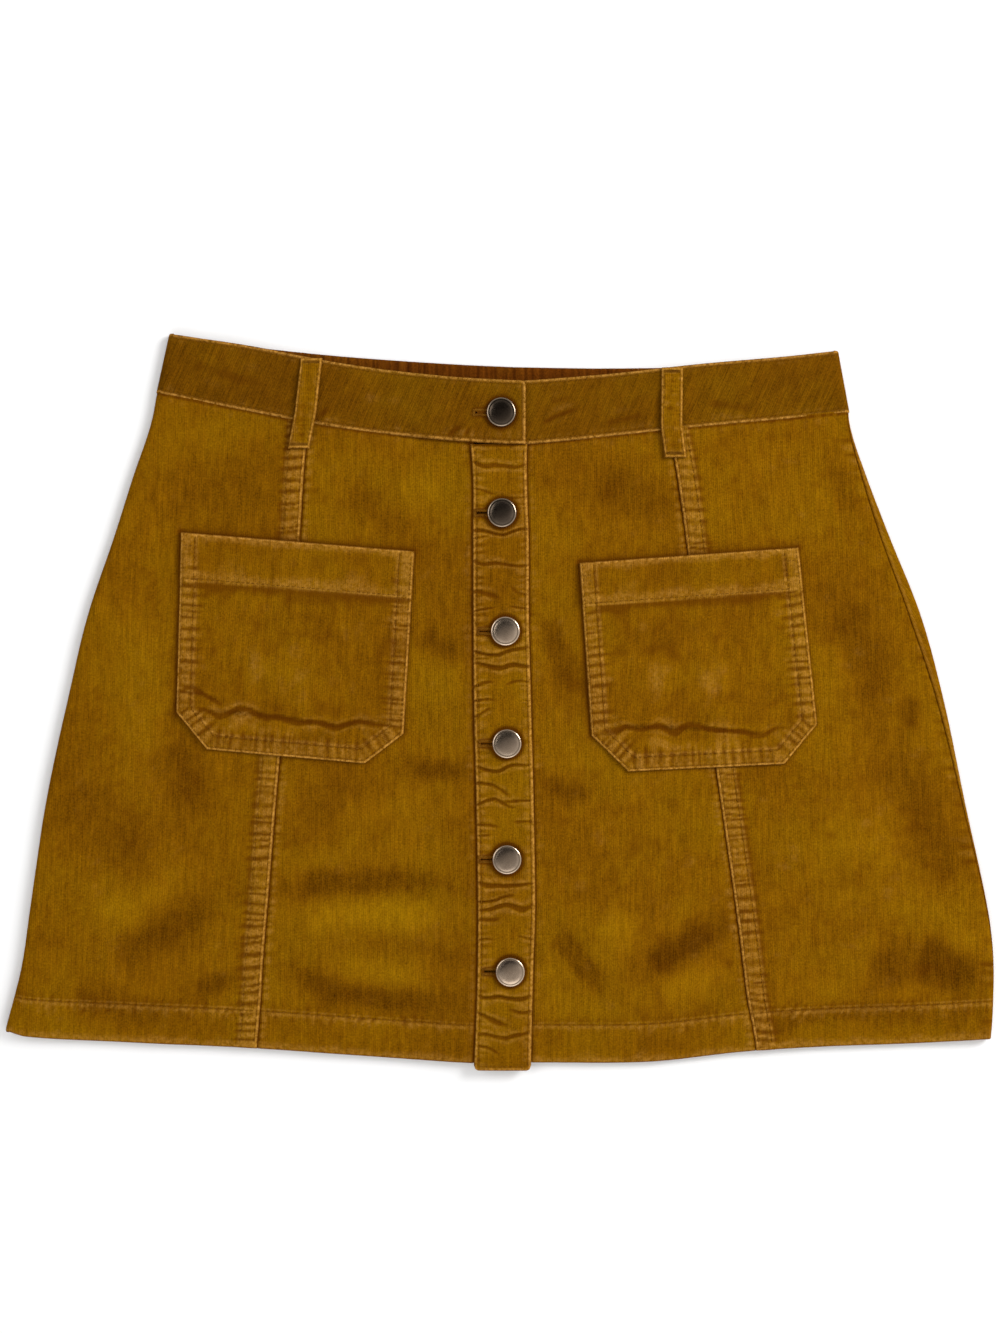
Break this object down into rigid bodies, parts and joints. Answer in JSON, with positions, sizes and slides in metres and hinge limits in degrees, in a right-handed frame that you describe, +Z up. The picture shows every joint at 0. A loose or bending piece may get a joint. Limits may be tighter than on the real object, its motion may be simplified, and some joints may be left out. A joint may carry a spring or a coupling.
{
  "type": "a-line skirt",
  "caption": "Short A-line corduroy skirt laid flat, with a buttoned front placket, patch pockets, belt loops and a shaped waistband.",
  "frame": {"origin": "centre of the bounding box's base, on the surface that the skirt lies on", "axes": "+X across the skirt towards the side where the waistband's upper end points, +Y from the hem to the waist, +Z up out of the front"},
  "size_m": [0.5691, 0.424, 0.0112],
  "materials": {
    "corduroy": "fine-wale cotton corduroy in mustard brown, washed, with pale worn seams",
    "button_metal": "antique dark brass, satin, with worn paler rims"
  },
  "bodies": {
    "root": {"back_panel": "corduroy", "front_side_left": "corduroy", "front_centre_left": "corduroy", "front_centre_right": "corduroy", "front_side_right": "corduroy", "placket_upper": "corduroy", "placket_under": "corduroy", "waistband_left": "corduroy", "waistband_right": "corduroy", "waistband_back": "corduroy", "pocket_left": "corduroy", "pocket_right": "corduroy", "belt_loop_left": "corduroy", "belt_loop_right": "corduroy", "button_1": "button_metal", "button_2": "button_metal", "button_3": "button_metal", "button_4": "button_metal", "button_5": "button_metal", "button_6": "button_metal"}
  },
  "joints": []
}
